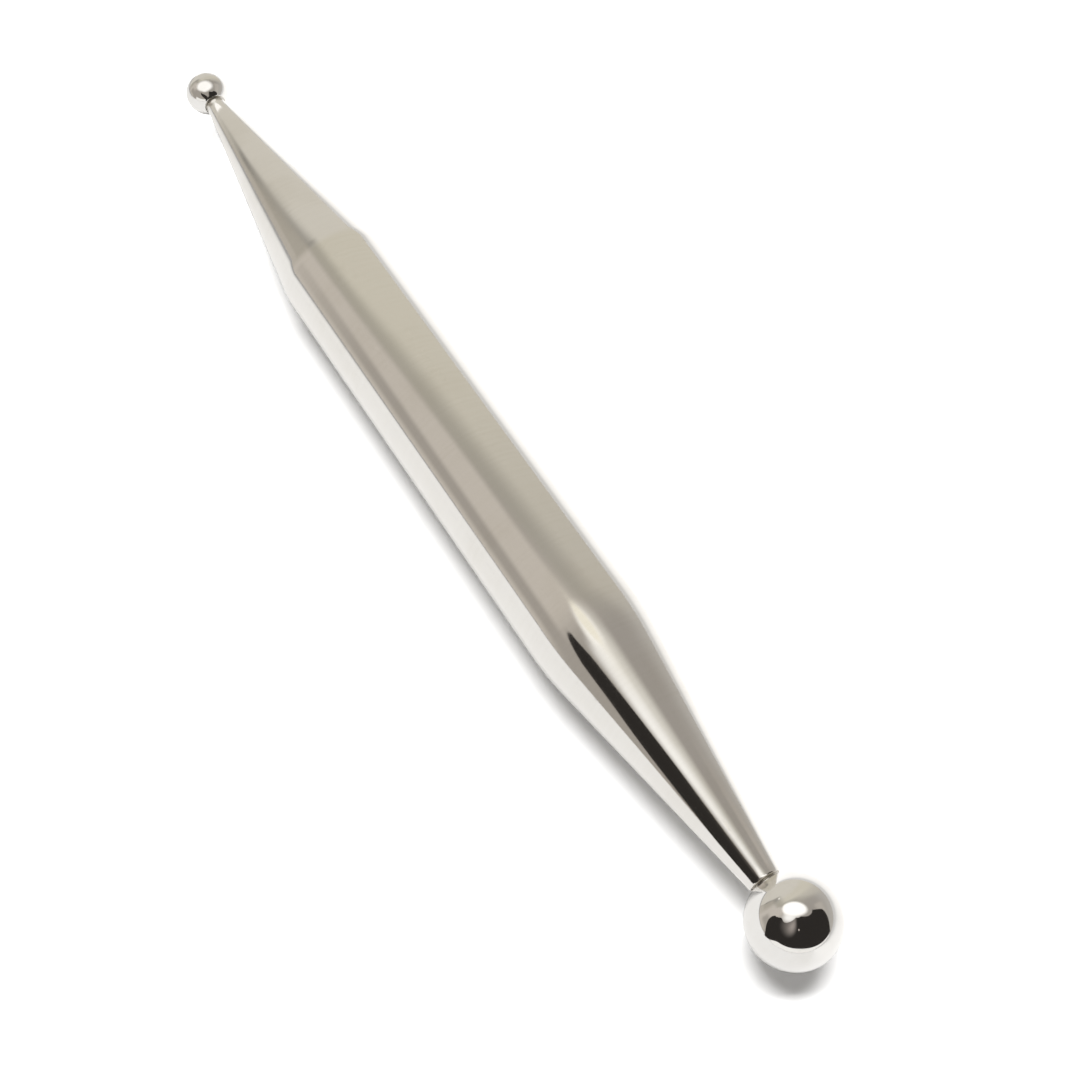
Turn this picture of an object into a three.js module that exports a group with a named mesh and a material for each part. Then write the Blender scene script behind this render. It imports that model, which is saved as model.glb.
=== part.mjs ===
// Double-ended ball modelling tool: a turned steel bar with a ball brazed to each tapered tip.
// Millimetres. +X along the tool towards the large ball, +Z up. The grip lies on the plane Z = 0,
// and the origin is under the middle of the tool's whole length.

import * as THREE from 'three';

// Grip
const GRIP_DIAMETER = 12;
const GRIP_LENGTH = 54.5;

// Large end
const LARGE_TAPER_LENGTH = 28.3;
const LARGE_TIP_DIAMETER = 3.4;
const LARGE_TIP_CHAMFER = 0.3;
const LARGE_TIP_LAND = 0.5;
const LARGE_SHOULDER_BLEND = 3;
const LARGE_SPIGOT_LENGTH = 2.6;
const LARGE_BALL_DIAMETER = 9;
const LARGE_BRAZE_THICKNESS = 0.2;
const LARGE_BRAZE_SPREAD = 0.2;

// Small end
const SMALL_TAPER_LENGTH = 30.15;
const SMALL_TIP_DIAMETER = 2.3;
const SMALL_TIP_CHAMFER = 0.15;
const SMALL_TIP_LAND = 0.4;
const SMALL_SHOULDER_BLEND = 0.8;
const SMALL_SPIGOT_LENGTH = 1.9;
const SMALL_BALL_DIAMETER = 5;
const SMALL_BRAZE_THICKNESS = 0.15;
const SMALL_BRAZE_SPREAD = 0.15;

// Fits shared by both ends
const SPIGOT_CLEARANCE = 0.1;
const BORE_END_CLEARANCE = 0.3;

// Facets round the axis, and steps along each curve of an outline. The bar has fewer and wider
// facets, so that it lies still on the lowest one.
const BAR_SIDES = 16;
const BALL_SIDES = 32;
const CURVE_STEPS = 5;
const ON_AXIS_LIMIT = 1e-6;

// Works out one end of the tool from its sizes. Radii are measured from the axis, and places along
// the axis from the middle of the grip towards the ball.
function layOutEnd(sizes) {
  const gripRadius = GRIP_DIAMETER / 2;
  const tipRadius = sizes.tipDiameter / 2;
  const faceRadius = tipRadius - sizes.tipChamfer;
  const spigotRadius = faceRadius - sizes.tipLand;
  const ballRadius = sizes.ballDiameter / 2;
  const seatRadius = tipRadius + sizes.brazeSpread;
  const shoulder = GRIP_LENGTH / 2;
  const face = shoulder + sizes.taperLength;
  const seat = face + sizes.brazeThickness;
  const spigotEnd = face + sizes.spigotLength;
  return {
    gripRadius,
    tipRadius,
    faceRadius,
    spigotRadius,
    boreRadius: spigotRadius + SPIGOT_CLEARANCE,
    ballRadius,
    seatRadius,
    shoulder,
    shoulderBlend: sizes.shoulderBlend,
    taperAngle: Math.atan2(gripRadius - tipRadius, sizes.taperLength - sizes.tipChamfer),
    chamferStart: face - sizes.tipChamfer,
    face,
    seat,
    ballCentre: seat + Math.sqrt(ballRadius ** 2 - seatRadius ** 2),
    spigotEnd,
    boreEnd: spigotEnd + BORE_END_CLEARANCE,
  };
}

// Half of the bar's outline: from the grip's shoulder, down the taper, to the end of the spigot
function barOutline(end) {
  const blendDrop = end.shoulderBlend * Math.sin(end.taperAngle);
  const blendReach = end.shoulderBlend * Math.cos(end.taperAngle);
  const outline = new THREE.Path();
  outline.moveTo(end.gripRadius, end.shoulder - end.shoulderBlend);
  outline.quadraticCurveTo(
    end.gripRadius, end.shoulder,
    end.gripRadius - blendDrop, end.shoulder + blendReach,
  );
  outline.lineTo(end.tipRadius, end.chamferStart);
  outline.lineTo(end.faceRadius, end.face);
  outline.lineTo(end.spigotRadius, end.face);
  outline.lineTo(end.spigotRadius, end.spigotEnd);
  outline.lineTo(0, end.spigotEnd);
  return outline.getPoints(CURVE_STEPS);
}

// A ball with a flat seat for the braze, and a blind bore for the spigot
function ballOutline(end) {
  const seatAngle = -Math.acos(end.seatRadius / end.ballRadius);
  const outline = new THREE.Path();
  outline.moveTo(0, end.boreEnd);
  outline.lineTo(end.boreRadius, end.boreEnd);
  outline.lineTo(end.boreRadius, end.seat);
  outline.lineTo(end.seatRadius, end.seat);
  outline.absarc(0, end.ballCentre, end.ballRadius, seatAngle, 0, false);
  outline.absarc(0, end.ballCentre, end.ballRadius, 0, Math.PI / 2, false);
  return outline.getPoints(CURVE_STEPS);
}

// A bead of braze round the spigot, from the tip's face out to the edge of the ball's seat
function brazeOutline(end) {
  const outline = new THREE.Path();
  outline.moveTo(end.boreRadius, end.face);
  outline.lineTo(end.faceRadius, end.face);
  outline.quadraticCurveTo(end.faceRadius, end.seat, end.seatRadius, end.seat);
  outline.lineTo(end.boreRadius, end.seat);
  outline.lineTo(end.boreRadius, end.face);
  return outline.getPoints(CURVE_STEPS);
}

// The same outline at the other end of the axis, still drawn in the direction that faces outwards
function mirrored(points) {
  return points.map((point) => new THREE.Vector2(point.x, -point.y)).reverse();
}

// Turns an outline about the axis. The facets touch the true round surface at their middles, and
// half a facet's turn puts one of them flat underneath.
function revolve(name, points, sides, material) {
  const halfFacet = Math.PI / sides;
  const profile = points.map((point) => {
    const radius = Math.abs(point.x) < ON_AXIS_LIMIT ? 0 : point.x / Math.cos(halfFacet);
    return new THREE.Vector2(radius, point.y);
  });
  const mesh = new THREE.Mesh(new THREE.LatheGeometry(profile, sides, halfFacet), material);
  mesh.name = name;
  return mesh;
}

function polishedSteel() {
  return new THREE.MeshStandardMaterial({ color: 0xc8c3bb, roughness: 0.16, metalness: 1 });
}

function ballSteel() {
  return new THREE.MeshStandardMaterial({ color: 0xccc8c2, roughness: 0.1, metalness: 1 });
}

function silverBraze() {
  return new THREE.MeshStandardMaterial({ color: 0xbdb5a8, roughness: 0.32, metalness: 1 });
}

const largeEnd = layOutEnd({
  taperLength: LARGE_TAPER_LENGTH,
  tipDiameter: LARGE_TIP_DIAMETER,
  tipChamfer: LARGE_TIP_CHAMFER,
  tipLand: LARGE_TIP_LAND,
  shoulderBlend: LARGE_SHOULDER_BLEND,
  spigotLength: LARGE_SPIGOT_LENGTH,
  ballDiameter: LARGE_BALL_DIAMETER,
  brazeThickness: LARGE_BRAZE_THICKNESS,
  brazeSpread: LARGE_BRAZE_SPREAD,
});

const smallEnd = layOutEnd({
  taperLength: SMALL_TAPER_LENGTH,
  tipDiameter: SMALL_TIP_DIAMETER,
  tipChamfer: SMALL_TIP_CHAMFER,
  tipLand: SMALL_TIP_LAND,
  shoulderBlend: SMALL_SHOULDER_BLEND,
  spigotLength: SMALL_SPIGOT_LENGTH,
  ballDiameter: SMALL_BALL_DIAMETER,
  brazeThickness: SMALL_BRAZE_THICKNESS,
  brazeSpread: SMALL_BRAZE_SPREAD,
});

const tool = new THREE.Group();
const wholeBar = [...mirrored(barOutline(smallEnd)), ...barOutline(largeEnd)];
tool.add(revolve('handle', wholeBar, BAR_SIDES, polishedSteel()));
tool.add(revolve('large_ball', ballOutline(largeEnd), BALL_SIDES, ballSteel()));
tool.add(revolve('large_ball_braze', brazeOutline(largeEnd), BALL_SIDES, silverBraze()));
tool.add(revolve('small_ball', mirrored(ballOutline(smallEnd)), BALL_SIDES, ballSteel()));
tool.add(revolve('small_ball_braze', mirrored(brazeOutline(smallEnd)), BALL_SIDES, silverBraze()));

// Lays the turned axis along X, with the grip on the ground and the whole length centred
const largePole = largeEnd.ballCentre + largeEnd.ballRadius;
const smallPole = smallEnd.ballCentre + smallEnd.ballRadius;
tool.rotation.z = -Math.PI / 2;
tool.position.set((smallPole - largePole) / 2, 0, GRIP_DIAMETER / 2);

export default tool;
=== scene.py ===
"""Ball modelling tool: a turned and polished steel bar with a steel ball brazed to each tapered tip.

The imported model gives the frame. Each of its five parts is replaced by a smooth, finished piece in
the same place, and the pieces lie on a plain white floor under soft studio light.
Lengths are in metres, the tool lies along X with its large ball at +X, and Z is up.
"""

import logging
import math
from collections.abc import Sequence
from dataclasses import dataclass, field
from enum import Enum
from functools import lru_cache, partial, reduce

import bmesh
import bpy
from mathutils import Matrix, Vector, noise


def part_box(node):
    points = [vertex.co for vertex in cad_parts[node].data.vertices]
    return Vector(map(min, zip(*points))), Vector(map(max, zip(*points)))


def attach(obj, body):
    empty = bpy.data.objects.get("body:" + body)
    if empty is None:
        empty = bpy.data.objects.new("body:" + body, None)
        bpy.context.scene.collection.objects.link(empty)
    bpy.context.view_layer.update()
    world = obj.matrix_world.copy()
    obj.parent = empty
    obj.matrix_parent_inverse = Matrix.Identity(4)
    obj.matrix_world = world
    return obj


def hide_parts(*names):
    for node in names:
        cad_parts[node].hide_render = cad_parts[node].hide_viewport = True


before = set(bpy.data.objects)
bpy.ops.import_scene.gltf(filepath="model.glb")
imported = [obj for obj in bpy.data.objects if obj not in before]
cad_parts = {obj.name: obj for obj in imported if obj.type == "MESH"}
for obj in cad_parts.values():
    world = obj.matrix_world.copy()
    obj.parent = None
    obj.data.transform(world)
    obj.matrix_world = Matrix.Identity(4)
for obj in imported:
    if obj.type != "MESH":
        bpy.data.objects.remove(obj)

MM = 0.001
BODY = "root"
HANDLE = "handle"
MERGE_DISTANCE = 1e-7
SHARP_ANGLE = math.radians(35)
BLACK = (0.0, 0.0, 0.0)
WHITE = (1.0, 1.0, 1.0)

Colour = tuple[float, float, float]
Profile = Sequence[tuple[float, float]]
Material = bpy.types.Material
Mesh = bpy.types.Mesh
Node = bpy.types.Node
Object = bpy.types.Object
Socket = bpy.types.NodeSocket
Sockets = bpy.types.bpy_prop_collection
Tree = bpy.types.NodeTree

log = logging.getLogger("modelling_tool")


class End(Enum):
    """The two ends of the tool. The value is the end's direction along X."""

    LARGE = 1
    SMALL = -1


class Slot(Enum):
    """The record's material slots."""

    BAR = "bar_steel"
    BALL = "ball_steel"
    BRAZE = "braze"


# Small helpers


def mm(*lengths: float) -> tuple[float, ...]:
    """Lengths given in millimetres, in metres."""
    return tuple(length * MM for length in lengths)


def degrees(*angles: float) -> tuple[float, ...]:
    """Angles given in degrees, in radians."""
    return tuple(math.radians(angle) for angle in angles)


def towards(azimuth: float, elevation: float) -> Vector:
    """The direction at an azimuth from +X and an elevation over the floor."""
    level = math.cos(elevation)
    return Vector((math.cos(azimuth) * level, math.sin(azimuth) * level, math.sin(elevation)))


@dataclass(frozen=True)
class Ramp:
    """A change from a first result at low to a last one at high, eased at both ends."""

    low: float
    high: float
    first: float = 0.0
    last: float = 1.0

    def at(self, value: float) -> float:
        """The result for one value."""
        share = min(1.0, max(0.0, (value - self.low) / (self.high - self.low)))
        return self.first + (self.last - self.first) * (share * share * (3 - 2 * share))


@lru_cache
def node_box(node: str) -> tuple[Vector, Vector]:
    """The lowest and highest corner of a CAD node."""
    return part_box(node)


def node_radius(node: str) -> float:
    """Half of a CAD node's height, which is the radius of its thickest part."""
    low, high = node_box(node)
    return (high.z - low.z) / 2


def axis_height() -> float:
    """Height of the tool's axis over the floor."""
    low, high = node_box(HANDLE)
    return (low.z + high.z) / 2


def linked(data: bpy.types.ID) -> Object:
    """Makes an object of a mesh, lamp or camera, at the origin and with the same name.

    Args:
        data: The mesh, lamp or camera. A mesh has its place in its vertices.

    Returns:
        The new object, in the scene.
    """
    made = bpy.data.objects.new(data.name, data)
    bpy.context.scene.collection.objects.link(made)
    return made


def fitted(mesh: Mesh, node: str) -> Object:
    """Puts a finished piece in the place of its CAD node and reports it.

    Args:
        mesh: The finished piece's mesh, with its material.
        node: The CAD node that it stands for.

    Returns:
        The finished piece.
    """
    piece = linked(mesh)
    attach(piece, BODY)
    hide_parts(node)
    log.info("%s stands for %s with %d faces", piece.name, node, len(mesh.polygons))
    return piece


def mesh_of(name: str, sketch: bmesh.types.BMesh, material: Material) -> Mesh:
    """Turns a finished sketch of faces into a mesh.

    Args:
        name: Name of the mesh.
        sketch: The faces. They are freed.
        material: The mesh's material.

    Returns:
        The new mesh.
    """
    mesh = bpy.data.meshes.new(name)
    sketch.to_mesh(mesh)
    sketch.free()
    mesh.materials.append(material)
    return mesh


def turned_mesh(name: str, profile: Profile, sides: int, material: Material) -> Mesh:
    """Turns a closed profile about the tool's axis.

    Args:
        name: Name of the new mesh.
        profile: Pairs of place along X and radius. A radius of 0 is a pole.
        sides: Number of faces round the axis.
        material: The mesh's material.

    Returns:
        A closed mesh whose faces point outwards.
    """
    sketch = bmesh.new()
    rings = []
    for along, radius in profile:
        ring = []
        for step in range(sides if radius else 1):
            turn = 2 * math.pi * step / sides
            place = (along, radius * math.cos(turn), axis_height() + radius * math.sin(turn))
            ring.append(sketch.verts.new(place))
        rings.append(ring)
    closed = profile[0][1] > 0
    following = rings[1:] + rings[:1] if closed else rings[1:]
    for first, second in zip(rings, following):
        for step in range(sides):
            after = (step + 1) % sides
            corners = [
                first[step % len(first)],
                first[after % len(first)],
                second[after % len(second)],
                second[step % len(second)],
            ]
            sketch.faces.new(dict.fromkeys(corners))
    bmesh.ops.recalc_face_normals(sketch, faces=sketch.faces)
    for face in sketch.faces:
        face.smooth = True
    for edge in sketch.edges:
        edge.smooth = edge.calc_face_angle(0) < SHARP_ANGLE
    return mesh_of(name, sketch, material)


# Node trees


@dataclass
class NodeSketch:
    """Adds nodes to one node tree and wires them."""

    tree: Tree
    columns: int = 12
    column_width: float = 180.0
    row_height: float = 220.0

    def add(self, kind: str, **settings: object) -> Node:
        """Adds one node.

        Args:
            kind: The node's Blender type.
            **settings: Properties of the node.

        Returns:
            The new node.
        """
        row, column = divmod(len(self.tree.nodes), self.columns)
        made = self.tree.nodes.new(kind)
        made.location = (column * self.column_width, -row * self.row_height)
        for name, value in settings.items():
            setattr(made, name, value)
        return made

    def feed(self, target: Socket, value: object) -> None:
        """Gives an input its value.

        Args:
            target: The input.
            value: An output to link, a node whose first output is linked, or a number, a vector or
                a colour of three values.
        """
        if isinstance(value, Node):
            value = value.outputs[0]
        if isinstance(value, Socket):
            self.tree.links.new(value, target)
        else:
            target.default_value = (*value, 1.0) if target.type == "RGBA" else value

    def call(self, kind: str, inputs: dict[str | int, object], **settings: object) -> Node:
        """Adds one node and feeds its inputs.

        Args:
            kind: The node's Blender type.
            inputs: What goes to each input, by its name or number.
            **settings: Properties of the node.

        Returns:
            The new node.
        """
        made = self.add(kind, **settings)
        for name, value in inputs.items():
            self.feed(made.inputs[name], value)
        return made

    def use(self, group: Tree, inputs: dict[str, object]) -> Node:
        """Adds a node for a group and feeds its inputs."""
        return self.call(self.tree.bl_idname.replace("Tree", "Group"), inputs, node_tree=group)

    def math(self, operation: str, *values: object) -> Socket:
        """Adds a Math node and returns its output."""
        return self.call("ShaderNodeMath", dict(enumerate(values)), operation=operation).outputs[0]

    def product(self, *values: object) -> Socket:
        """Adds the product of any number of values and returns its output."""
        return reduce(partial(self.math, "MULTIPLY"), values)

    def vector_math(self, operation: str, *values: object) -> Node:
        """Adds a Vector Math node."""
        return self.call("ShaderNodeVectorMath", dict(enumerate(values)), operation=operation)

    def vector(self, x: object = 0.0, y: object = 0.0, z: object = 0.0) -> Socket:
        """Combines three values into a vector."""
        return self.call("ShaderNodeCombineXYZ", {0: x, 1: y, 2: z}).outputs[0]

    def split(self, vector: object) -> tuple[Socket, ...]:
        """Separates a vector into its three values."""
        return tuple(self.call("ShaderNodeSeparateXYZ", {0: vector}).outputs)

    def ranged(
        self, value: object, low: object, high: object, first: float = 0.0, last: float = 1.0
    ) -> Socket:
        """Adds an eased Map Range node and returns its output."""
        inputs = dict(enumerate((value, low, high, first, last)))
        return self.call("ShaderNodeMapRange", inputs, interpolation_type="SMOOTHSTEP").outputs[0]

    def ramp(self, value: object, ramp: Ramp) -> Socket:
        """Adds a ramp of a value and returns its output."""
        return self.ranged(value, ramp.low, ramp.high, ramp.first, ramp.last)

    def around(self, value: object, middle: float, ramp: Ramp) -> Socket:
        """Adds a ramp of a value's distance from a middle one and returns its output."""
        return self.ramp(self.math("ABSOLUTE", self.math("SUBTRACT", value, middle)), ramp)

    def cloud(self, place: object, scale: object, detail: float, roughness: float) -> Socket:
        """Adds a Noise Texture node and returns its value."""
        inputs = {"Vector": place, "Scale": scale, "Detail": detail, "Roughness": roughness}
        return self.call("ShaderNodeTexNoise", inputs).outputs["Fac"]

    def mix(self, kind: str, share: object, first: object, second: object) -> Socket:
        """Adds a mix of two values of kind FLOAT, VECTOR or RGBA and returns its output."""
        inputs = {"Factor": share, "A": first, "B": second}
        return self.call("ShaderNodeMix", inputs, data_type=kind).outputs["Result"]

    def layered(self, colour: object, *layers: tuple[object, object]) -> Socket:
        """Lays further colours over a first one.

        Args:
            colour: The lowest colour.
            *layers: Share and colour of each layer.

        Returns:
            The last mix's output.
        """
        for share, tone in layers:
            colour = self.mix("RGBA", share, colour, tone)
        return colour


def cleared(block: Material | bpy.types.World) -> NodeSketch:
    """Gives a new material or world an empty node tree.

    Args:
        block: The material or world.

    Returns:
        A sketch of its tree.
    """
    block.use_nodes = True
    block.node_tree.nodes.clear()
    return NodeSketch(block.node_tree)


def new_group(
    kind: str, name: str, inputs: dict[str, str], outputs: dict[str, str]
) -> tuple[NodeSketch, Sockets, Sockets]:
    """Makes an empty node group with its sockets.

    Args:
        kind: Geometry or Shader.
        name: The group's name.
        inputs: The type of each input, by its name.
        outputs: The type of each output, by its name.

    Returns:
        A sketch of the group, its inputs, and the sockets that take its outputs.
    """
    tree = bpy.data.node_groups.new(name, f"{kind}NodeTree")
    for direction, sockets in (("INPUT", inputs), ("OUTPUT", outputs)):
        for label, holds in sockets.items():
            tree.interface.new_socket(name=label, in_out=direction, socket_type=f"NodeSocket{holds}")
    sketch = NodeSketch(tree)
    return sketch, sketch.add("NodeGroupInput").outputs, sketch.add("NodeGroupOutput").inputs


# Sizes


@dataclass(frozen=True)
class EndSizes:
    """The sizes of one end. Places along the axis are measured from X = 0 towards the ball."""

    end: End
    taper_length: float
    tip_diameter: float
    tip_edge: float
    tip_land: float
    shoulder_blend: float
    bore_clearance: float = 0.1 * MM
    bore_end_clearance: float = 0.3 * MM

    @property
    def label(self) -> str:
        """The end's name, as its pieces' names begin with it."""
        return self.end.name.lower()

    @property
    def ball_node(self) -> str:
        """Name of the CAD node of this end's ball."""
        return f"{self.label}_ball"

    @property
    def braze_node(self) -> str:
        """Name of the CAD node of this end's bead of braze."""
        return f"{self.label}_ball_braze"

    def outwards(self, node: str) -> tuple[float, float]:
        """The nearest and farthest place of a CAD node along this end's direction."""
        low, high = node_box(node)
        return tuple(sorted((low.x * self.end.value, high.x * self.end.value)))

    @property
    def face(self) -> float:
        """Place of the taper's flat end."""
        return self.outwards(self.braze_node)[0]

    @property
    def seat(self) -> float:
        """Place of the flat on the ball."""
        return self.outwards(self.braze_node)[1]

    @property
    def shoulder(self) -> float:
        """Place where the grip turns into the taper."""
        return self.face - self.taper_length

    @property
    def tip_radius(self) -> float:
        """Radius of the taper's thin end."""
        return self.tip_diameter / 2

    @property
    def spigot_end(self) -> float:
        """Place of the spigot's end inside the ball."""
        return self.outwards(HANDLE)[1]

    @property
    def spigot_radius(self) -> float:
        """Radius of the spigot."""
        return self.tip_radius - self.tip_edge - self.tip_land

    @property
    def bore_end(self) -> float:
        """Place of the bore's end inside the ball."""
        return self.spigot_end + self.bore_end_clearance

    @property
    def bore_radius(self) -> float:
        """Radius of the ball's bore, and of the hole in the bead."""
        return self.spigot_radius + self.bore_clearance

    @property
    def ball_radius(self) -> float:
        """Radius of the ball."""
        return node_radius(self.ball_node)

    @property
    def ball_centre(self) -> float:
        """Place of the ball's centre."""
        return self.outwards(self.ball_node)[1] - self.ball_radius

    @property
    def seat_radius(self) -> float:
        """Radius of the flat on the ball."""
        return node_radius(self.braze_node)


LARGE_END = EndSizes(
    end=End.LARGE,
    taper_length=28.3 * MM,
    tip_diameter=3.4 * MM,
    tip_edge=0.3 * MM,
    tip_land=0.5 * MM,
    shoulder_blend=3.0 * MM,
)

SMALL_END = EndSizes(
    end=End.SMALL,
    taper_length=30.15 * MM,
    tip_diameter=2.3 * MM,
    tip_edge=0.15 * MM,
    tip_land=0.4 * MM,
    shoulder_blend=0.8 * MM,
)


# Effects that several finishes share

RING_COARSENESS = 0.12
DULL_RINGS = Ramp(0.35, 0.7)
HAIRLINE_EDGE = Ramp(0.4, 1.0, 1.0, 0.0)
SMUDGES = Ramp(0.42, 0.72)


def fine_lines_group() -> Tree:
    """Makes the effect of fine lines that run round the axis, as lathe and polishing cloth leave them.

    Returns:
        A group that puts out the lines' height and a slower mask of duller rings.
    """
    sketch, given, results = new_group(
        "Shader",
        "fine_lines",
        {"Vector": "Vector", "Lines": "Float", "Around": "Float"},
        {"Height": "Float", "Rings": "Float"},
    )
    x, y, z = sketch.split(given["Vector"])
    across = sketch.product(y, given["Around"])
    upwards = sketch.product(z, given["Around"])
    clouds = []
    for coarseness in (1.0, RING_COARSENESS):
        along = sketch.product(x, sketch.product(given["Lines"], coarseness))
        stretched = sketch.vector(along, across, upwards)
        clouds.append(sketch.cloud(stretched, 1.0, detail=3.0, roughness=0.6))
    sketch.feed(results["Height"], clouds[0])
    sketch.feed(results["Rings"], sketch.ramp(clouds[1], DULL_RINGS))
    return sketch.tree


def hairlines_group() -> Tree:
    """Makes the effect of short hairline scratches in one direction.

    Returns:
        A group that puts out a mask, 1 on a scratch.
    """
    sketch, given, results = new_group(
        "Shader",
        "hairlines",
        {"Vector": "Vector", "Turn": "Vector", "Spacing": "Float", "Stretch": "Float", "Width": "Float"},
        {"Mask": "Float"},
    )
    turned = sketch.call(
        "ShaderNodeVectorRotate",
        {"Vector": given["Vector"], "Rotation": given["Turn"]},
        rotation_type="EULER_XYZ",
    )
    x, y, z = sketch.split(turned)
    density = sketch.math("DIVIDE", 1.0, given["Spacing"])
    squeezed = sketch.vector(
        sketch.product(x, sketch.math("DIVIDE", density, given["Stretch"])),
        sketch.product(y, density),
        sketch.product(z, density),
    )
    cells = sketch.call("ShaderNodeTexVoronoi", {"Vector": squeezed, "Scale": 1.0, "Randomness": 1.0})
    near = sketch.math("DIVIDE", cells.outputs["Distance"], given["Width"])
    sketch.feed(results["Mask"], sketch.ramp(near, HAIRLINE_EDGE))
    return sketch.tree


def handling_group() -> Tree:
    """Makes the effect of handling: soft smudges, and the slight waves of polishing by hand.

    Returns:
        A group that puts out a mask of smudges and the height of the waves.
    """
    sketch, given, results = new_group(
        "Shader",
        "handling",
        {"Vector": "Vector", "Smudge Size": "Float", "Wave Size": "Float"},
        {"Smudges": "Float", "Waves": "Float"},
    )
    clouds = []
    for label, detail in (("Smudge Size", 4.0), ("Wave Size", 0.0)):
        scale = sketch.math("DIVIDE", 1.0, given[label])
        clouds.append(sketch.cloud(given["Vector"], scale, detail, roughness=0.55))
    sketch.feed(results["Smudges"], sketch.ramp(clouds[0], SMUDGES))
    sketch.feed(results["Waves"], clouds[1])
    return sketch.tree


@dataclass
class Effects:
    """The shared effects, made once and placed in each finish with its own values."""

    fine_lines: Tree = field(default_factory=fine_lines_group)
    hairlines: Tree = field(default_factory=hairlines_group)
    handling: Tree = field(default_factory=handling_group)


# Finishes


@dataclass(frozen=True)
class SteelFinish:
    """Polished metal with fine lines round the axis, hairlines, smudges and slight waves."""

    name: str
    colour: Colour
    dull_colour: Colour
    roughness: float
    smudge_roughness: float
    lines_per_metre: float
    line_depth: float
    wave_size: float
    wave_depth: float
    smudge_size: float
    hairline_spacing: float
    hairline_depth: float
    hairline_stretch: float = 14.0
    hairline_width: float = 0.03
    hairline_turns: tuple[tuple[float, ...], ...] = ((0.3, 0.2, 1.45), (1.1, 0.5, 0.35))
    hairline_roughness: float = 0.12
    line_change_around: float = 90.0
    smudge_share: float = 0.7
    ring_share: float = 0.3

    def hairlines(self, sketch: NodeSketch, group: Tree, place: Socket) -> Socket:
        """Adds hairlines in each of their directions.

        Args:
            sketch: The material's tree.
            group: The hairline effect.
            place: The place on the piece.

        Returns:
            The output of their mask.
        """
        masks = []
        for turn in self.hairline_turns:
            inputs = {
                "Vector": place,
                "Turn": turn,
                "Spacing": self.hairline_spacing,
                "Stretch": self.hairline_stretch,
                "Width": self.hairline_width,
            }
            masks.append(sketch.use(group, inputs).outputs["Mask"])
        return sketch.math("MAXIMUM", *masks)

    def material(self, effects: Effects) -> Material:
        """Makes the material.

        Args:
            effects: The shared effects.

        Returns:
            The finished material.
        """
        made = bpy.data.materials.new(self.name)
        sketch = cleared(made)
        place = sketch.add("ShaderNodeTexCoord").outputs["Object"]
        lines = sketch.use(
            effects.fine_lines,
            {"Vector": place, "Lines": self.lines_per_metre, "Around": self.line_change_around},
        ).outputs
        handling = sketch.use(
            effects.handling,
            {"Vector": place, "Smudge Size": self.smudge_size, "Wave Size": self.wave_size},
        ).outputs
        scratches = self.hairlines(sketch, effects.hairlines, place)

        dullness = sketch.product(handling["Smudges"], self.smudge_share)
        dullness = sketch.math("MULTIPLY_ADD", lines["Rings"], self.ring_share, dullness)
        rough = sketch.math("MULTIPLY_ADD", dullness, self.smudge_roughness, self.roughness)
        rough = sketch.math("MULTIPLY_ADD", scratches, self.hairline_roughness, rough)
        height = sketch.product(lines["Height"], self.line_depth)
        height = sketch.math("MULTIPLY_ADD", handling["Waves"], self.wave_depth, height)
        height = sketch.math("MULTIPLY_ADD", scratches, -self.hairline_depth, height)
        bump = sketch.call("ShaderNodeBump", {"Strength": 1.0, "Distance": 1.0, "Height": height})
        steel = sketch.call(
            "ShaderNodeBsdfPrincipled",
            {
                "Base Color": sketch.mix("RGBA", dullness, self.colour, self.dull_colour),
                "Metallic": 1.0,
                "Roughness": rough,
                "Normal": bump,
            },
        )
        sketch.call("ShaderNodeOutputMaterial", {"Surface": steel})
        return made


BAR_FINISH = SteelFinish(
    name="polished bar steel",
    colour=(0.80, 0.78, 0.745),
    dull_colour=(0.76, 0.735, 0.69),
    roughness=0.075,
    smudge_roughness=0.05,
    lines_per_metre=26000.0,
    line_depth=0.8e-7,
    wave_size=9 * MM,
    wave_depth=6e-6,
    smudge_size=7 * MM,
    hairline_spacing=0.9 * MM,
    hairline_depth=3e-7,
)

BALL_FINISH = SteelFinish(
    name="polished ball steel",
    colour=(0.82, 0.805, 0.78),
    dull_colour=(0.78, 0.76, 0.73),
    roughness=0.045,
    smudge_roughness=0.035,
    lines_per_metre=9000.0,
    line_depth=0.4e-7,
    wave_size=3 * MM,
    wave_depth=0.5e-6,
    smudge_size=2.2 * MM,
    hairline_spacing=0.5 * MM,
    hairline_depth=1e-7,
)

BRAZE_FINISH = SteelFinish(
    name="silver braze",
    colour=(0.64, 0.615, 0.57),
    dull_colour=(0.52, 0.50, 0.46),
    roughness=0.28,
    smudge_roughness=0.1,
    lines_per_metre=9000.0,
    line_depth=4e-7,
    wave_size=0.6 * MM,
    wave_depth=1e-6,
    smudge_size=0.5 * MM,
    hairline_spacing=0.4 * MM,
    hairline_depth=2e-7,
)


# The bar

# Inputs of the tree that makes one end. Each is named after one of the end's sizes.
END_INPUTS = ("Shoulder", "Shoulder Blend", "Face", "Tip Radius", "Tip Edge", "Spigot Radius", "Spigot End")


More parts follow.
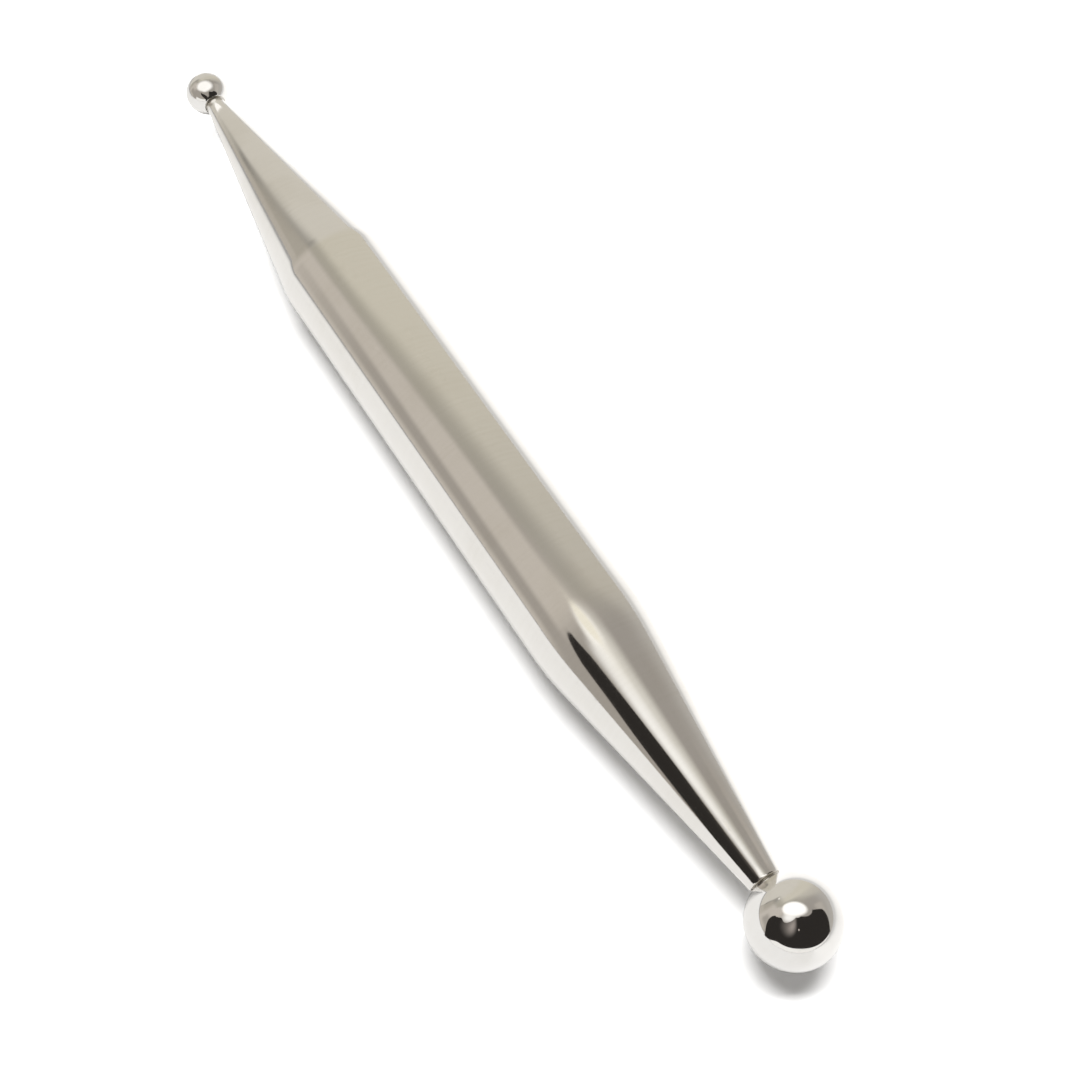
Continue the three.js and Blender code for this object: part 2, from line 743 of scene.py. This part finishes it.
def turned_band_group() -> Tree:
    """Makes the group that turns one curved or straight stretch of an outline about the X axis.

    Returns:
        The group. Its three points hold a place along X and a radius.
    """
    sketch, given, results = new_group(
        "Geometry",
        "turned_band",
        {"Start": "Vector", "Corner": "Vector", "End": "Vector", "Steps": "Int", "Sides": "Int"},
        {"Mesh": "Geometry"},
    )
    grid = sketch.call(
        "GeometryNodeMeshGrid",
        {
            "Size X": 1.0,
            "Size Y": 1.0,
            "Vertices X": sketch.math("ADD", given["Steps"], 1.0),
            "Vertices Y": sketch.math("ADD", given["Sides"], 1.0),
        },
    )
    x, y, _ = sketch.split(sketch.add("GeometryNodeInputPosition"))
    share = sketch.math("ADD", x, 0.5)
    turn = sketch.product(y, -2 * math.pi)
    early = sketch.mix("VECTOR", share, given["Start"], given["Corner"])
    late = sketch.mix("VECTOR", share, given["Corner"], given["End"])
    along, radius, _ = sketch.split(sketch.mix("VECTOR", share, early, late))
    position = sketch.vector(
        along,
        sketch.product(radius, sketch.math("COSINE", turn)),
        sketch.product(radius, sketch.math("SINE", turn)),
    )
    placed = sketch.call("GeometryNodeSetPosition", {0: grid, "Position": position})
    sketch.feed(results["Mesh"], placed)
    return sketch.tree


@dataclass
class TurnedBar:
    """The handle: grip, two tapers and a spigot at each tip, in one piece of steel."""

    large: EndSizes = LARGE_END
    small: EndSizes = SMALL_END
    sides: int = 160
    grip_steps: int = 16
    blend_steps: int = 24
    taper_steps: int = 32
    edge_steps: int = 8
    spigot_steps: int = 2

    def end_group(self) -> Tree:
        """Makes the group for one end of the bar, from the middle of the grip to the spigot's end.

        Returns:
            The group.
        """
        labels = dict.fromkeys(("Grip Radius", *END_INPUTS), "Float")
        sketch, given, results = new_group(
            "Geometry", "turned_end", {**labels, "Sides": "Int"}, {"Mesh": "Geometry"}
        )
        grip = given["Grip Radius"]
        shoulder, blend, face, tip, edge, spigot, spigot_end = (given[label] for label in END_INPUTS)
        edge_start = sketch.math("SUBTRACT", face, edge)
        rise = sketch.math("SUBTRACT", grip, tip)
        run = sketch.math("SUBTRACT", edge_start, shoulder)
        slope = sketch.math("ARCTAN2", rise, run)
        reach = sketch.product(blend, sketch.math("COSINE", slope))
        drop = sketch.product(blend, sketch.math("SINE", slope))

        middle = sketch.vector(0.0, grip)
        blend_start = sketch.vector(sketch.math("SUBTRACT", shoulder, blend), grip)
        shoulder_corner = sketch.vector(shoulder, grip)
        blend_end = sketch.vector(sketch.math("ADD", shoulder, reach), sketch.math("SUBTRACT", grip, drop))
        taper_end = sketch.vector(edge_start, tip)
        tip_corner = sketch.vector(face, tip)
        face_edge = sketch.vector(face, sketch.math("SUBTRACT", tip, edge))
        spigot_root = sketch.vector(face, spigot)
        spigot_rim = sketch.vector(spigot_end, spigot)
        spigot_pole = sketch.vector(spigot_end)

        band = turned_band_group()
        joined = sketch.add("GeometryNodeJoinGeometry")
        for first, corner, last, steps in (
            (middle, None, blend_start, self.grip_steps),
            (blend_start, shoulder_corner, blend_end, self.blend_steps),
            (blend_end, None, taper_end, self.taper_steps),
            (taper_end, tip_corner, face_edge, self.edge_steps),
            (face_edge, None, spigot_root, 1),
            (spigot_root, None, spigot_rim, self.spigot_steps),
            (spigot_rim, None, spigot_pole, 1),
        ):
            inputs = {
                "Start": first,
                "Corner": corner or sketch.mix("VECTOR", 0.5, first, last),
                "End": last,
                "Steps": steps,
                "Sides": given["Sides"],
            }
            sketch.feed(joined.inputs[0], sketch.use(band, inputs))
        sketch.feed(results["Mesh"], joined)
        return sketch.tree

    def bar_group(self) -> Tree:
        """Makes the whole bar's tree.

        Returns:
            A tree whose named inputs are the bar's sizes.
        """
        labels = [f"{end.name.title()} {label}" for end in End for label in END_INPUTS]
        sketch, given, results = new_group(
            "Geometry",
            "turned_bar",
            {
                "Geometry": "Geometry",
                **dict.fromkeys(("Grip Radius", "Axis Height", *labels), "Float"),
                "Sides": "Int",
                "Steel": "Material",
            },
            {"Geometry": "Geometry"},
        )
        half = self.end_group()
        joined = sketch.add("GeometryNodeJoinGeometry")
        for end in End:
            inputs = {label: given[f"{end.name.title()} {label}"] for label in END_INPUTS}
            inputs.update({label: given[label] for label in ("Grip Radius", "Sides")})
            turned = sketch.use(half, inputs)
            if end is End.SMALL:
                mirrored = sketch.call("GeometryNodeTransform", {0: turned, "Scale": (-1.0, 1.0, 1.0)})
                turned = sketch.call("GeometryNodeFlipFaces", {0: mirrored})
            sketch.feed(joined.inputs[0], turned)

        raised = sketch.vector(z=given["Axis Height"])
        angle = sketch.add("GeometryNodeInputMeshEdgeAngle").outputs["Unsigned Angle"]
        sharp = sketch.math("GREATER_THAN", angle, SHARP_ANGLE)
        shape = joined
        for kind, inputs, settings in (
            ("MergeByDistance", {"Distance": MERGE_DISTANCE}, {}),
            ("Transform", {"Translation": raised}, {}),
            ("SetShadeSmooth", {"Shade Smooth": True}, {"domain": "FACE"}),
            ("SetShadeSmooth", {"Selection": sharp, "Shade Smooth": False}, {"domain": "EDGE"}),
            ("RealizeInstances", {}, {}),
            ("SetMaterial", {"Material": given["Steel"]}, {}),
        ):
            shape = sketch.call(f"GeometryNode{kind}", {0: shape, **inputs}, **settings)
        sketch.feed(results["Geometry"], shape)
        return sketch.tree

    def build(self, steel: Material) -> Object:
        """Builds the bar and puts it in the place of its node.

        Args:
            steel: The bar's finish.

        Returns:
            The finished piece.
        """
        values = {
            "Grip Radius": node_radius(HANDLE),
            "Axis Height": axis_height(),
            "Sides": self.sides,
            "Steel": steel,
        }
        for sizes in (self.large, self.small):
            for label in END_INPUTS:
                size = getattr(sizes, label.lower().replace(" ", "_"))
                values[f"{sizes.end.name.title()} {label}"] = size
        tree = self.bar_group()
        blank = linked(bpy.data.meshes.new("turned_bar_blank"))
        modifier = blank.modifiers.new("turned bar", "NODES")
        modifier.node_group = tree
        for item in tree.interface.items_tree:
            if item.in_out == "INPUT" and item.name in values:
                modifier[item.identifier] = values[item.name]
        blank.update_tag()
        graph = bpy.context.evaluated_depsgraph_get()
        mesh = bpy.data.meshes.new_from_object(blank.evaluated_get(graph), depsgraph=graph)
        bpy.data.objects.remove(blank)
        mesh.name = "turned_bar"
        return fitted(mesh, HANDLE)


# The balls and their beads of braze


@dataclass
class BrazedBall:
    """One end's ball, bored for its spigot, and the bead of braze that holds it."""

    sizes: EndSizes
    sides: int = 160
    ball_steps: int = 112
    bead_steps: int = 14
    bead_sides: int = 128
    groove_depth_share: float = 0.1
    unevenness: float = 0.03 * MM
    unevenness_size: float = 0.8 * MM
    even_share: float = 0.02

    def in_frame(self, profile: Profile) -> Profile:
        """The same profile at this end of the X axis."""
        return [(along * self.sizes.end.value, radius) for along, radius in profile]

    def build_ball(self, steel: Material) -> Object:
        """Builds the ball.

        Args:
            steel: The ball's finish.

        Returns:
            The finished piece.
        """
        sizes = self.sizes
        centre, radius, bore = sizes.ball_centre, sizes.ball_radius, sizes.bore_radius
        profile = [(sizes.bore_end, 0.0), (sizes.bore_end, bore), (sizes.seat, bore)]
        seat_angle = math.pi - math.asin(sizes.seat_radius / radius)
        for step in range(self.ball_steps):
            angle = seat_angle - seat_angle * step / self.ball_steps
            profile.append((centre + radius * math.cos(angle), radius * math.sin(angle)))
        profile.append((centre + radius, 0.0))
        mesh = turned_mesh(f"{sizes.label}_steel_ball", self.in_frame(profile), self.sides, steel)
        return fitted(mesh, sizes.ball_node)

    def build_bead(self, braze: Material) -> Object:
        """Builds the bead of braze.

        Args:
            braze: The braze's finish.

        Returns:
            The finished piece.
        """
        sizes = self.sizes
        gap = sizes.seat - sizes.face
        root = sizes.tip_radius - sizes.tip_edge - self.groove_depth_share * sizes.tip_radius
        profile = [(sizes.face, sizes.bore_radius), (sizes.face, root)]
        for step in range(1, self.bead_steps + 1):
            share = step / self.bead_steps
            along = sizes.face + gap * (1 - (1 - share) ** 2)
            profile.append((along, root + (sizes.seat_radius - root) * share**2))
        profile.append((sizes.seat, sizes.bore_radius))
        mesh = turned_mesh(f"{sizes.label}_braze_bead", self.in_frame(profile), self.bead_sides, braze)
        lowest, highest = root * (1 + self.even_share), sizes.seat_radius * (1 - self.even_share)
        for vertex in mesh.vertices:
            offset = Vector((0.0, vertex.co.y, vertex.co.z - axis_height()))
            if lowest < offset.length < highest:
                swell = noise.noise(vertex.co / self.unevenness_size) * self.unevenness
                vertex.co += offset.normalized() * swell
        return fitted(mesh, sizes.braze_node)


# The studio


def level_square(name: str, half: float, height: float, material: Material) -> Mesh:
    """Makes a level square round the Z axis.

    Args:
        name: Name of the mesh.
        half: Half of its side.
        height: Its height over the floor.
        material: Its material.

    Returns:
        The mesh.
    """
    corners = [(-half, -half, height), (half, -half, height), (half, half, height), (-half, half, height)]
    mesh = bpy.data.meshes.new(name)
    mesh.from_pydata(corners, [], [(0, 1, 2, 3)])
    mesh.materials.append(material)
    return mesh


def mirrored_card(mesh: Mesh) -> Object:
    """Makes a card of a mesh, which shows only in what the metal mirrors.

    Args:
        mesh: The card's mesh, with its material.

    Returns:
        The card, which isn't part of the tool.
    """
    card = linked(mesh)
    for ray in ("camera", "diffuse", "transmission", "volume_scatter", "shadow"):
        setattr(card, f"visible_{ray}", False)
    return card


@dataclass(frozen=True)
class StudioFloor:
    """A plain white floor. It looks white where it is lit and keeps the tool's shadow.

    Towards the small end the floor glows brighter to the camera, painted light that washes out the
    shadow there, and far from the tool the floor is plain white. In the metal its tone is a painted
    reflection set apart from its paint: brightest just behind the tool and darker far behind it, and
    on the near side it darkens beyond the small end.
    """

    half_size: float = 3.0
    paint: float = 0.82
    lift: float = 0.13
    # Painted light: the floor glows brighter towards the small end, which washes out the shadow there.
    painted_light_along: Ramp = Ramp(-56 * MM, -32 * MM, 0.8, 0.13)
    lift_far_away: Ramp = Ramp(0.4, 1.0)
    # Tones of the floor's painted reflection in the metal, apart from its paint.
    near: float = 0.45
    near_along: Ramp = Ramp(-170 * MM, -60 * MM, 0.35, 1.0)
    far_along: Ramp = Ramp(50 * MM, 75 * MM, 0.56, 0.51)
    far_across: Ramp = Ramp(10 * MM, 75 * MM)
    far_distant: float = 0.31

    def build(self) -> Object:
        """Builds the floor.

        Returns:
            The floor, which isn't part of the tool.
        """
        made = bpy.data.materials.new("floor paint")
        sketch = cleared(made)
        path = sketch.add("ShaderNodeLightPath").outputs
        in_metal = path["Is Glossy Ray"]
        shown = sketch.math("ADD", path["Is Camera Ray"], in_metal)
        shown = sketch.math("ADD", shown, path["Is Transmission Ray"])
        shown = sketch.math("MINIMUM", shown, 1.0)
        place = sketch.add("ShaderNodeTexCoord").outputs["Object"]
        along, across, _ = sketch.split(place)

        # Painted reflection: the floor's tone in the metal is set by place, brightest just behind the tool
        # and darker far off.
        near = sketch.product(self.near, sketch.ramp(along, self.near_along))
        far_close = sketch.ramp(along, self.far_along)
        far = sketch.mix("FLOAT", sketch.ramp(across, self.far_across), far_close, self.far_distant)
        radius = node_radius(HANDLE)
        mirrored = sketch.mix("FLOAT", sketch.ramp(across, Ramp(-radius, radius)), near, far)
        colour = sketch.mix("FLOAT", in_metal, self.paint, mirrored)
        paint = sketch.call("ShaderNodeBsdfDiffuse", {"Color": colour})

        # Painted light: towards the small end the floor glows brighter to the camera and washes out the
        # shadow; far away it glows plain white.
        away = sketch.vector_math("LENGTH", place).outputs["Value"]
        lift_and_painted_light = sketch.ramp(along, self.painted_light_along)
        lift_and_painted_light = sketch.math("ADD", lift_and_painted_light, sketch.ramp(away, self.lift_far_away))
        strength = sketch.product(shown, sketch.mix("FLOAT", in_metal, lift_and_painted_light, self.lift))
        light = sketch.call("ShaderNodeEmission", {"Strength": strength})
        both = sketch.call("ShaderNodeAddShader", {0: paint, 1: light})
        sketch.call("ShaderNodeOutputMaterial", {"Surface": both})

        floor = linked(level_square("studio_floor", self.half_size, 0.0, made))
        return floor


@dataclass(frozen=True)
class OverheadLamp:
    """The wide, distant lamp that casts the shadow. In the metal, white cards stand for it."""

    place: tuple[float, float, float] = (-0.517, 0.177, 3.0)
    sides: tuple[float, float] = (0.89, 2.15)
    turn: float = math.radians(-25.3)
    floor_light: float = 2.1

    def build(self) -> Object:
        """Builds the lamp.

        Returns:
            The lamp.
        """
        lamp = bpy.data.lights.new("overhead_lamp", "AREA")
        lamp.shape = "RECTANGLE"
        lamp.size, lamp.size_y = self.sides
        lamp.energy = self.floor_light * math.pi**2 * self.place[2] ** 2
        made = linked(lamp)
        made.location = self.place
        made.rotation_euler = (0.0, 0.0, self.turn)
        made.visible_camera = False
        made.visible_glossy = False
        return made


@dataclass(frozen=True)
class HighlightPatch:
    """A soft-edged glowing oval on a card: a painted highlight in the metal."""

    centre: tuple[float, float]
    reach: tuple[float, float]
    radiance: float
    softness: float
    tone: Colour
    turn: float = 0.0

    def mask(self, sketch: NodeSketch, place: Node) -> Socket:
        """Adds the patch's mask, 1 inside it.

        Args:
            sketch: The material's tree.
            place: The place on the card.

        Returns:
            The mask's output.
        """
        moved = sketch.vector_math("SUBTRACT", place, (*self.centre, 0.0))
        turned = sketch.call(
            "ShaderNodeVectorRotate", {"Vector": moved, "Angle": -self.turn}, rotation_type="Z_AXIS"
        )
        shrinking = (1 / self.reach[0], 1 / self.reach[1], 0.0)
        squeezed = sketch.vector_math("MULTIPLY", turned, shrinking)
        off = sketch.vector_math("LENGTH", squeezed).outputs["Value"]
        return sketch.ramp(off, Ramp(1 - self.softness, 1.0, 1.0, 0.0))


@dataclass(frozen=True)
class HighlightCard:
    """A level card over the tool, clear but for glowing soft-edged ovals. Only the metal mirrors it, so the
    ovals are painted highlights in place of the lamp.
    """

    name: str
    height: float
    half_size: float
    patches: tuple[HighlightPatch, ...]

    def build(self) -> Object:
        """Builds the card.

        Returns:
            The card, which isn't part of the tool.
        """
        made = bpy.data.materials.new(self.name)
        sketch = cleared(made)
        place = sketch.add("ShaderNodeTexCoord").outputs["Object"]
        flat = sketch.vector_math("MULTIPLY", place, (1.0, 1.0, 0.0))
        shader = sketch.add("ShaderNodeBsdfTransparent")
        for patch in self.patches:
            light = sketch.call("ShaderNodeEmission", {"Color": patch.tone, "Strength": patch.radiance})
            inputs = {0: patch.mask(sketch, flat), 1: shader, 2: light}
            shader = sketch.call("ShaderNodeMixShader", inputs)
        sketch.call("ShaderNodeOutputMaterial", {"Surface": shader})
        return mirrored_card(level_square(self.name, self.half_size, self.height, made))


# Tones of the painted highlights.
NEUTRAL = (1.0, 0.99, 0.97)
WARM = (1.0, 0.97, 0.9)

# Cards whose glowing ovals paint the highlights in the metal, in place of the lamp.
HIGHLIGHT_CARDS = (
    HighlightCard(
        name="high_white_card",
        height=230 * MM,
        half_size=260 * MM,
        patches=(
            HighlightPatch(mm(20, -25), mm(108, 115), radiance=0.80, softness=0.8, tone=WARM),
            HighlightPatch(mm(-15, -50), mm(62, 72), radiance=1.15, softness=0.7, tone=(1.0, 0.98, 0.93)),
            HighlightPatch(mm(48, -80), mm(112, 66), 1.12, softness=0.9, tone=NEUTRAL, turn=math.radians(64)),
        ),
    ),
    HighlightCard(
        name="low_white_card",
        height=150 * MM,
        half_size=130 * MM,
        patches=(
            HighlightPatch(mm(-8, -28), mm(33, 23), 1.05, 0.5, tone=(1.0, 0.96, 0.84), turn=math.radians(20)),
        ),
    ),
    HighlightCard(
        name="small_white_card",
        height=16 * MM,
        half_size=90 * MM,
        patches=(
            HighlightPatch(mm(57.3, -0.5), mm(4.8, 2.7), 1.35, 0.35, tone=NEUTRAL, turn=math.radians(53)),
            HighlightPatch(mm(49.4, -2.5), mm(0.85, 0.65), radiance=1.05, softness=0.7, tone=WARM),
        ),
    ),
    HighlightCard(
        name="small_end_card",
        height=8.8 * MM,
        half_size=90 * MM,
        patches=(
            HighlightPatch(mm(-59.7, -0.6), mm(2.0, 1.2), 1.25, 0.5, tone=NEUTRAL, turn=math.radians(71)),
        ),
    ),
)


@dataclass(frozen=True)
class PaintedGlow:
    """A painted reflection: a soft bright spot that glows on the black card. Its place and reach are angles
    at the large ball.
    """

    azimuth: float
    elevation: float
    reach: float
    brightness: float


@dataclass(frozen=True)
class BlackCard:
    """A black card bent round the large ball, which only the metal mirrors: a painted dark reflection, like
    the cards a studio uses to give bright metal its dark lines.

    All its angles are taken from the large ball's centre. The card stands on the near side, comes
    closest to the tool beside the large end's taper, and leaves the floor on its way to the right.
    Its upper and lower edges are sums of ramps of the azimuth.
    """

    top: tuple[Ramp, ...] = (
        Ramp(*degrees(-123, -108, 41, 55)),
        Ramp(*degrees(-95, -52, 0, 26)),
        Ramp(*degrees(15, 75, 0, -25)),
    )
    foot: tuple[Ramp, ...] = (Ramp(*degrees(-96, -70, -1, 12)), Ramp(*degrees(-35, 35, 0, -9)))
    left_side: Ramp = Ramp(*degrees(-5, 36, -97, -123))
    right_side: Ramp = Ramp(*degrees(-2, 34, 40, 75))
    distance_round: Ramp = Ramp(*degrees(-80, 10), 70 * MM, 180 * MM)
    left_corner: Ramp = Ramp(*degrees(-123, -106), 1.0, 0.0)
    corner_distance: Ramp = Ramp(*degrees(20, 41), 0.0, 95 * MM)
    fitting_rounds: int = 5
    columns: int = 96
    rows: int = 32
    black: float = 0.03
    tint: Colour = (1.0, 0.9, 0.83)
    reflection_glows: tuple[PaintedGlow, ...] = (PaintedGlow(*degrees(-56, 60, 30), 0.36), PaintedGlow(*degrees(-28, 55, 3.2), 1.0))

    def distance(self, azimuth: float, elevation: float) -> float:
        """How far the card is from the ball's centre in one direction."""
        corner = self.left_corner.at(azimuth) * self.corner_distance.at(elevation)
        return self.distance_round.at(azimuth) + corner

    def direction(self, column: int, row: int) -> tuple[float, float]:
        """The azimuth and elevation of one point of the card.

        Args:
            column: Number of the column, from the left.
            row: Number of the row, from the foot.

        Returns:
            The two angles.
        """
        share = column / self.columns
        azimuth = self.left_side.last + (self.right_side.last - self.left_side.last) * share
        for _ in range(self.fitting_rounds):
            foot, top = (sum(ramp.at(azimuth) for ramp in edge) for edge in (self.foot, self.top))
            elevation = foot + (top - foot) * row / self.rows
            left = self.left_side.at(elevation)
            azimuth = left + (self.right_side.at(elevation) - left) * share
        return azimuth, elevation

    def build(self) -> Object:
        """Builds the card.

        Returns:
            The card, which isn't part of the tool.
        """
        centre = Vector((LARGE_END.ball_centre, 0.0, axis_height()))
        sketch = bmesh.new()
        grid = []
        for column in range(self.columns + 1):
            angles = [self.direction(column, row) for row in range(self.rows + 1)]
            places = [centre + towards(*pair) * self.distance(*pair) for pair in angles]
            grid.append([sketch.verts.new(place) for place in places])
        for first, second in zip(grid, grid[1:]):
            for row in range(self.rows):
                sketch.faces.new((first[row], second[row], second[row + 1], first[row + 1]))
        return mirrored_card(mesh_of("black_card", sketch, self.material(centre)))

    def material(self, centre: Vector) -> Material:
        """Makes the card's material, with its painted reflections: a soft grey patch and a small bright dot
        that glow on the black.

        Args:
            centre: The large ball's centre.

        Returns:
            The material.
        """
        made = bpy.data.materials.new("black card")
        sketch = cleared(made)
        place = sketch.add("ShaderNodeTexCoord").outputs["Object"]
        brightness = self.black
        for glow in self.reflection_glows:
            distance = self.distance(glow.azimuth, glow.elevation)
            middle = centre + towards(glow.azimuth, glow.elevation) * distance
            off = sketch.vector_math("DISTANCE", place, tuple(middle)).outputs["Value"]
            added = sketch.ramp(off, Ramp(0.0, distance * glow.reach, glow.brightness, 0.0))
            brightness = sketch.math("ADD", brightness, added)
        light = sketch.call("ShaderNodeEmission", {"Color": self.tint, "Strength": brightness})
        sketch.call("ShaderNodeOutputMaterial", {"Surface": light})
        return made


@dataclass(frozen=True)
class RoomTone:
    """The pale room round the floor: white where the camera sees it, warm greys in the metal.

    A direction into the room has a part along X, and an angle round the tool that starts at the
    floor on the far side. The X part is near -0.87 for what the small taper mirrors, from -0.6 to
    -0.4 for the grip, and more for the large taper. Behind the small end the room is beige over a
    dark line, greyer under it, and has a second dark line low on the near side. The part beside the
    large taper is darker, with a lighter streak.
    """

    beige: Colour = (0.69, 0.655, 0.565)
    beige_far: Colour = (0.72, 0.69, 0.625)
    beige_near: Colour = (0.593, 0.562, 0.498)
    under_line: Colour = (0.63, 0.585, 0.53)
    under_line_far: Colour = (0.475, 0.445, 0.39)
    beside: Colour = (0.40, 0.375, 0.345)
    beside_low: Colour = (0.52, 0.50, 0.47)
    near_low: Colour = (0.42, 0.39, 0.355)
    low_white: Colour = (1.04, 1.03, 1.01)
    far_share: Ramp = Ramp(-0.80, -0.66, 1.0, 0.0)
    near_share: Ramp = Ramp(-0.58, -0.39)
    under_line_start: Ramp = Ramp(0.0, math.radians(15))
    line_angle: float = math.radians(112)
    line_lean: float = math.radians(-145)
    lean_start: float = -0.61
    low_shift: Ramp = Ramp(*degrees(130, 170), 0.0, 0.02)
    far_rise: Ramp = Ramp(-0.872, -0.842, math.radians(23), 0.0)
    far_bend: Ramp = Ramp(-0.847, -0.832, math.radians(17), 0.0)
    line_top: Ramp = Ramp(-0.61, -0.52, *degrees(-24, -45))
    line_middle: float = math.radians(-1)
    line_foot: Ramp = Ramp(-0.50, -0.42, *degrees(3, 10))
    line_fall: Ramp = Ramp(0.0, math.radians(14), 1.0, 0.0)
    far_depth: Ramp = Ramp(-0.870, -0.857, 0.75, 0.45)
    grip_start: Ramp = Ramp(-0.80, -0.70)
    line_depth: float = 0.31
    grip_end: Ramp = Ramp(-0.47, -0.39)
    line_depth_near: float = 0.23
    low_line_angle: float = math.radians(161)
    low_line: Ramp = Ramp(*degrees(4, 18), 0.33, 0.0)
    low_line_start: Ramp = Ramp(-0.66, -0.54)
    low_light: Ramp = Ramp(*degrees(158, 168), 0.0, 0.5)
    low_light_start: Ramp = Ramp(-0.869, -0.858)
    line_end: Ramp = Ramp(-0.875, -0.871, 1.0, 0.0)
    beside_height: Ramp = Ramp(0.0, 0.75)
    streak_angle: float = math.radians(34)
    streak: Ramp = Ramp(*degrees(4, 18), 0.5, 0.0)
    streak_start: Ramp = Ramp(-0.06, 0.06)
    near_side: Ramp = Ramp(*degrees(100, 130))
    beside_share: Ramp = Ramp(-0.40, -0.14)
    white_height: Ramp = Ramp(0.2, 0.24, 1.0, 0.0)
    white_along: Ramp = Ramp(0.05, 0.15)
    white_across: Ramp = Ramp(0.55, 0.66, 1.0, 0.0)
    dimming: float = 0.7

    def behind(self, sketch: NodeSketch, along: Socket, angle: Socket) -> Socket:
        """Adds the part of the room behind the small end.

        Args:
            sketch: The world's tree.
            along: The direction's part along X.
            angle: The direction's angle round the tool.

        Returns:
            The colour's output.
        """
        far = sketch.ramp(along, self.far_share)
        far_place = sketch.math("SUBTRACT", along, sketch.ramp(angle, self.low_shift))
        forwards = sketch.math("MAXIMUM", sketch.math("SUBTRACT", along, self.lean_start), 0.0)
        line = sketch.math("MULTIPLY_ADD", forwards, self.line_lean, self.line_angle)
        for ramp in (self.far_rise, self.far_bend):
            line = sketch.math("ADD", line, sketch.ramp(far_place, ramp))
        past_line = sketch.math("SUBTRACT", angle, line)

        over = sketch.mix("RGBA", far, self.beige, self.beige_far)
        over = sketch.mix("RGBA", sketch.ramp(along, self.near_share), over, self.beige_near)
        under = sketch.mix("RGBA", far, self.under_line, self.under_line_far)
        rise = sketch.ranged(past_line, sketch.ramp(along, self.line_top), self.line_middle)
        past_foot = sketch.math("SUBTRACT", past_line, sketch.ramp(along, self.line_foot))
        fall = sketch.ramp(past_foot, self.line_fall)
        depth = sketch.ramp(far_place, self.far_depth)
        depth = sketch.mix("FLOAT", sketch.ramp(along, self.grip_start), depth, self.line_depth)
        depth = sketch.mix("FLOAT", sketch.ramp(along, self.grip_end), depth, self.line_depth_near)
        low_line = sketch.around(angle, self.low_line_angle, self.low_line)
        low_light = sketch.product(sketch.ramp(angle, self.low_light), far)
        return sketch.layered(
            over,
            (sketch.ramp(past_line, self.under_line_start), under),
            (sketch.product(rise, fall, depth), BLACK),
            (sketch.product(low_line, sketch.ramp(along, self.low_line_start)), BLACK),
            (sketch.product(low_light, sketch.ramp(far_place, self.low_light_start)), self.under_line),
            (sketch.ramp(far_place, self.line_end), self.beige_far),
        )

    def beside_taper(self, sketch: NodeSketch, along: Socket, angle: Socket, height: Socket) -> Socket:
        """Adds the part of the room beside the large taper.

        Args:
            sketch: The world's tree.
            along: The direction's part along X.
            angle: The direction's angle round the tool.
            height: The direction's part along Z.

        Returns:
            The colour's output.
        """
        streak = sketch.around(angle, self.streak_angle, self.streak)
        return sketch.layered(
            self.beside_low,
            (sketch.ramp(height, self.beside_height), self.beside),
            (sketch.product(streak, sketch.ramp(along, self.streak_start)), self.under_line),
            (sketch.ramp(angle, self.near_side), self.near_low),
        )

    def build(self) -> None:
        """Makes the world."""
        world = bpy.data.worlds.new("pale room")
        bpy.context.scene.world = world
        sketch = cleared(world)
        along, across, height = sketch.split(sketch.add("ShaderNodeTexCoord").outputs["Generated"])
        angle = sketch.math("ARCTAN2", height, across)
        low = sketch.product(
            sketch.ramp(height, self.white_height),
            sketch.ramp(along, self.white_along),
            sketch.ramp(across, self.white_across),
        )
        path = sketch.add("ShaderNodeLightPath").outputs
        beside = self.beside_taper(sketch, along, angle, height)
        colour = sketch.layered(
            self.behind(sketch, along, angle),
            (sketch.ramp(along, self.beside_share), beside),
            (low, self.low_white),
            (path["Is Camera Ray"], WHITE),
        )
        strength = sketch.math("MULTIPLY_ADD", path["Is Diffuse Ray"], -self.dimming, 1.0)
        light = sketch.call("ShaderNodeBackground", {"Color": colour, "Strength": strength})
        sketch.call("ShaderNodeOutputWorld", {"Surface": light})


@dataclass(frozen=True)
class PhotographCamera:
    """The camera, close over the large ball and looking down along the tool."""

    place: tuple[float, ...] = mm(83.79, -42.0, 147.72)
    azimuth: float = math.radians(58.33 - 90)
    elevation: float = math.radians(59.74)
    lens: float = 54.0
    sensor: float = 36.0
    nearest: float = 1 * MM
    farthest: float = 100.0

    def build(self) -> Object:
        """Makes the camera and hands it to the scene.

        Returns:
            The camera.
        """
        data = bpy.data.cameras.new("photograph_camera")
        data.lens = self.lens
        data.sensor_width = self.sensor
        data.clip_start = self.nearest
        data.clip_end = self.farthest
        made = linked(data)
        made.location = self.place
        made.rotation_mode = "QUATERNION"
        made.rotation_quaternion = (-towards(self.azimuth, self.elevation)).to_track_quat("-Z", "Y")
        bpy.context.scene.camera = made
        return made


def main() -> None:
    """Builds the studio and the tool's five pieces."""
    logging.basicConfig(level=logging.INFO, format="%(name)s: %(message)s")
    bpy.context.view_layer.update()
    bpy.context.scene.view_settings.view_transform = "Standard"
    PhotographCamera().build()
    StudioFloor().build()
    RoomTone().build()
    OverheadLamp().build()
    for card in HIGHLIGHT_CARDS:
        card.build()
    BlackCard().build()

    effects = Effects()
    bar_steel = BAR_FINISH.material(effects)
    ball_steel = BALL_FINISH.material(effects)
    braze = BRAZE_FINISH.material(effects)
    TurnedBar().build(bar_steel)
    for sizes in (LARGE_END, SMALL_END):
        ball = BrazedBall(sizes)
        ball.build_ball(ball_steel)
        ball.build_bead(braze)


if __name__ == "__main__":
    main()
